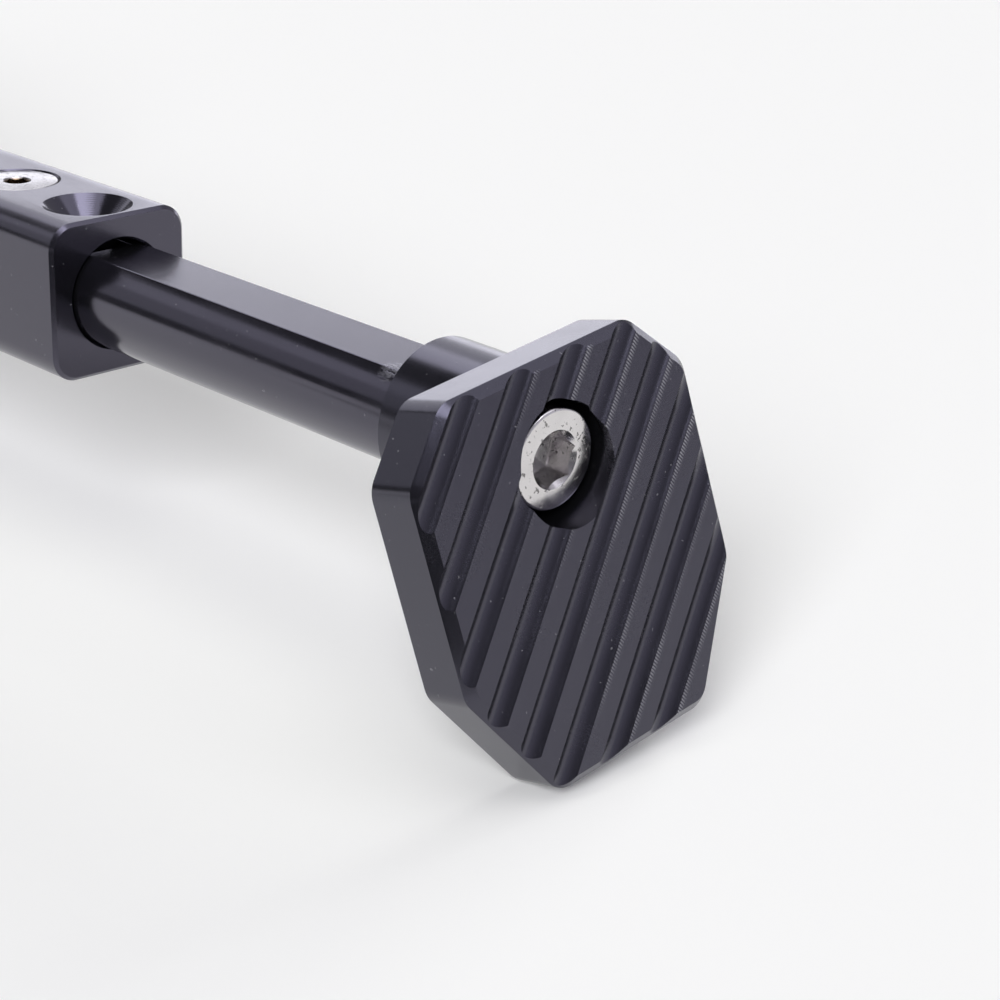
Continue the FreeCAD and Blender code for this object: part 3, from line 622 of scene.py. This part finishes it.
def reflected_shade_card():
    """A dark card just over the floor before the foot: a sheet of painted shade for the dark room
    behind the camera, which only shows in the metal as a dark reflection."""
    made, tree, shader = new_material("front_shade_card", (0.05, 0.05, 0.055), roughness=0.9)
    tree.links.new(tree.remap(tree.noise(tree.place(), 4.0), 0.8, 1.0), shader.inputs["Roughness"])
    outline = [(0.32, -0.06), (0.02, -0.203), (0.5, -1.3), (1.6, -0.3), (0.9, 0.05), (0.40, -0.02)]
    height = (FLOOR_Z + 0.6) * MM
    form = bmesh.new()
    form.faces.new([form.verts.new((x, y, height)) for x, y in outline])
    card = stage_piece("front_shade_card", form, made)
    card.visible_camera = False
    card.visible_diffuse = False
    card.visible_shadow = False


def soft_box(name, spot, aim, size, level):
    """A soft box of an even brightness, level, that faces a point and only shows in the metal."""
    data = bpy.data.lights.new(name, "AREA")
    data.shape = "RECTANGLE"
    data.size, data.size_y = size
    data.energy = level * math.pi * size[0] * size[1]
    data.color = (0.915, 0.915, 1.0)
    lamp = bpy.data.objects.new(name, data)
    lamp.location = spot
    lamp.rotation_mode = "QUATERNION"
    lamp.rotation_quaternion = (Vector(aim) - Vector(spot)).to_track_quat("-Z", "Y")
    lamp.visible_camera = False
    lamp.visible_diffuse = False
    bpy.context.scene.collection.objects.link(lamp)


def ceiling_box(name, x, y, size, level):
    """A soft box under the studio's ceiling, that faces straight down."""
    ceiling = 6.0
    soft_box(name, (x, y, ceiling), (x, y, 0.0), size, level)


def wall_box(name, azimuth, elevation, size, level):
    """A soft box on the studio's wall, placed by its direction from the middle of the stand."""
    middle = Vector((0.22, 0.0, -0.02))
    distance = 7.2
    turn = math.radians(azimuth)
    rise = math.radians(elevation)
    way = Vector((math.cos(rise) * math.cos(turn), math.cos(rise) * math.sin(turn), math.sin(rise)))
    soft_box(name, middle + way * distance, middle, size, level)


def far_light(name, azimuth, elevation, spread, share, colour):
    """Even light from far off that gives a level white floor its share of brightness.
    It doesn't show in the metal."""
    data = bpy.data.lights.new(name, "SUN")
    data.angle = math.radians(spread)
    data.energy = share * math.pi / math.sin(math.radians(elevation))
    data.color = colour
    lamp = bpy.data.objects.new(name, data)
    lamp.rotation_euler = (math.radians(90.0 - elevation), 0.0, math.radians(azimuth + 90.0))
    lamp.visible_glossy = False
    bpy.context.scene.collection.objects.link(lamp)


def studio_air():
    """The room round the floor: dim, and paler towards its far right wall."""
    world = bpy.data.worlds.new("studio")
    world.use_nodes = True
    bpy.context.scene.world = world
    tree = Tree(world.node_tree)
    room = tree.nodes["Background"]
    room.inputs["Color"].default_value = (0.91, 0.89, 1.0, 1.0)
    way = tree.nodes.new("ShaderNodeTexCoord").outputs["Generated"]
    facing = tree.against("DOT_PRODUCT", way, (0.7071, 0.7071, 0.0))
    tree.links.new(tree.remap(facing, 0.1, 0.7), room.inputs["Strength"])


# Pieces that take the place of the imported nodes.
foot_bolt()
clamp_screws()
edge_breaks = {
    "foot": 0.16, "leg_upper": 0.14, "leg_rod": 0.14, "mount_bracket": 0.2,
    "pivot_bolt": 0.2, "pivot_nut": 0.2, "pivot_washer": 0.15,
    "stop_pin": 0.3, "spring_post_frame": 0.25, "spring_post_leg": 0.25,
    "pivot_bush_left": 0.15, "pivot_bush_right": 0.15, "bumper": 0.4,
}
for node, width in edge_breaks.items():
    broken_edges(node, width)

spring = wire("return_spring_coiled", wire_path(), WIRE_RADIUS)
spring.data.materials.append(looks["spring_steel"])
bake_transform(spring)
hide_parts("return_spring")

for name, item in frame["nodes"].items():
    dress(item, looks[slot_of[name]])

# The camera and the studio.
photo_camera()
floor()
reflected_shade_card()

ceiling_box("ceiling_front", 2.35, -1.05, (2.9, 4.5), 4.5)
ceiling_box("ceiling_left", -0.1, -1.35, (2.0, 5.1), 1.6)
ceiling_box("ceiling_right", 2.2, 3.0, (4.4, 3.6), 0.85)
ceiling_box("ceiling_back", -4.55, 2.4, (6.1, 4.0), 2.25)
wall_box("back_low", 121.0, 4.0, (10.1, 1.3), 1.75)
wall_box("back_middle", 141.0, 12.2, (5.0, 1.0), 2.1)
wall_box("back_high", 151.0, 27.5, (9.2, 2.5), 1.05)
wall_box("side_high", -145.0, 30.0, (4.6, 1.5), 0.72)
wall_box("side_low", -148.0, 16.5, (5.6, 1.9), 0.42)

far_light("key", -56.0, 30.0, 32.0, 0.515, (0.975, 0.98, 0.98))
far_light("rear", 100.0, 25.0, 28.0, 0.09, (1.0, 1.0, 0.95))
far_light("overhead", -58.0, 75.0, 48.0, 0.18, (1.0, 1.0, 0.92))

studio_air()
view = bpy.context.scene.view_settings
view.view_transform = "Standard"
